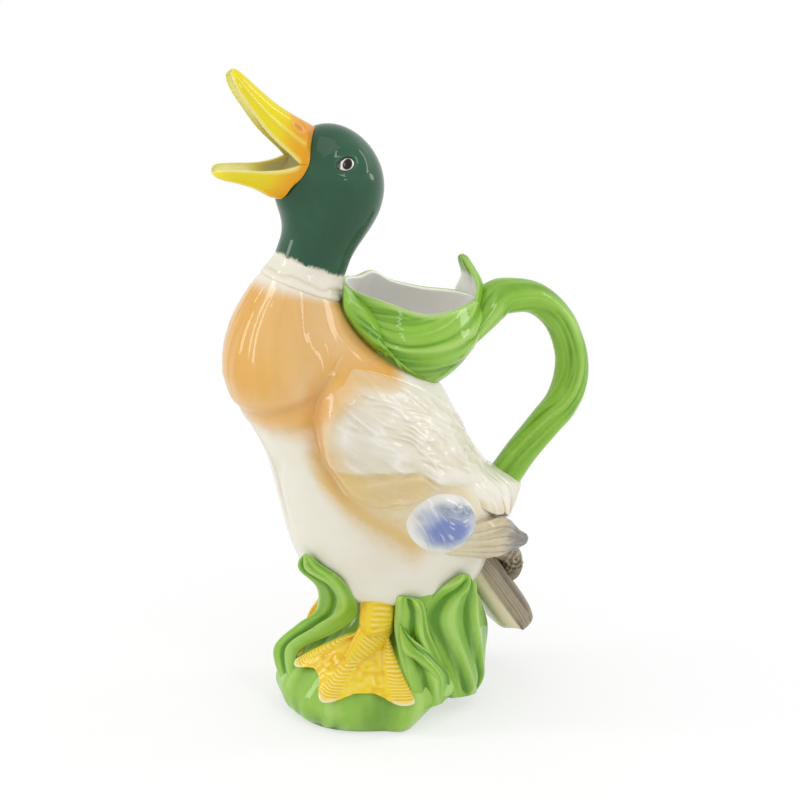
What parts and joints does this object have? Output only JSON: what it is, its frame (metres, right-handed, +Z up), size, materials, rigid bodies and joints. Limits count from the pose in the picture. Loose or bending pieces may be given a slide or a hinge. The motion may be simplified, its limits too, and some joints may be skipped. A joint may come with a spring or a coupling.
{
  "type": "duck carafe",
  "caption": "Glazed ceramic carafe shaped as a standing duck: open bill for a spout, leaf filler cup on its back, stem handle and webbed feet on a grassy mound.",
  "frame": {"origin": "centre of the mound's foot, on the table", "axes": "+Z up, the bill points to -X, the duck's left side is -Y; the mid plane of the duck is Y = 0"},
  "size_m": [0.1891, 0.1164, 0.3167],
  "materials": {
    "cream_glaze": "glossy cream tin glaze",
    "green_head_glaze": "glossy dark green glaze",
    "orange_bill_glaze": "glossy yellow to orange glaze",
    "dark_eye_glaze": "glossy brown-black glaze",
    "violet_glaze": "glossy blue-violet glaze",
    "taupe_glaze": "glossy taupe glaze",
    "leaf_glaze": "glossy spring green glaze",
    "yellow_foot_glaze": "glossy yellow glaze"
  },
  "bodies": {
    "root": {"body_shell": "cream_glaze", "neck_collar": "cream_glaze", "left_wing": "cream_glaze", "right_wing": "cream_glaze", "rump_coverts": "cream_glaze", "head_shell": "green_head_glaze", "upper_bill": "orange_bill_glaze", "lower_bill": "orange_bill_glaze", "left_eye": "dark_eye_glaze", "right_eye": "dark_eye_glaze", "left_speculum": "violet_glaze", "right_speculum": "violet_glaze", "left_primaries": "taupe_glaze", "right_primaries": "taupe_glaze", "tail_fan": "taupe_glaze", "tail_curl": "taupe_glaze", "grass_mound": "leaf_glaze", "front_blade": "leaf_glaze", "left_tall_blade": "leaf_glaze", "right_tall_blade": "leaf_glaze", "left_side_blade": "leaf_glaze", "right_side_blade": "leaf_glaze", "left_low_blade": "leaf_glaze", "right_low_blade": "leaf_glaze", "leaf_cup": "leaf_glaze", "leaf_tip": "leaf_glaze", "left_lobe": "leaf_glaze", "right_lobe": "leaf_glaze", "handle": "leaf_glaze", "left_foot": "yellow_foot_glaze", "right_foot": "yellow_foot_glaze"}
  },
  "joints": []
}
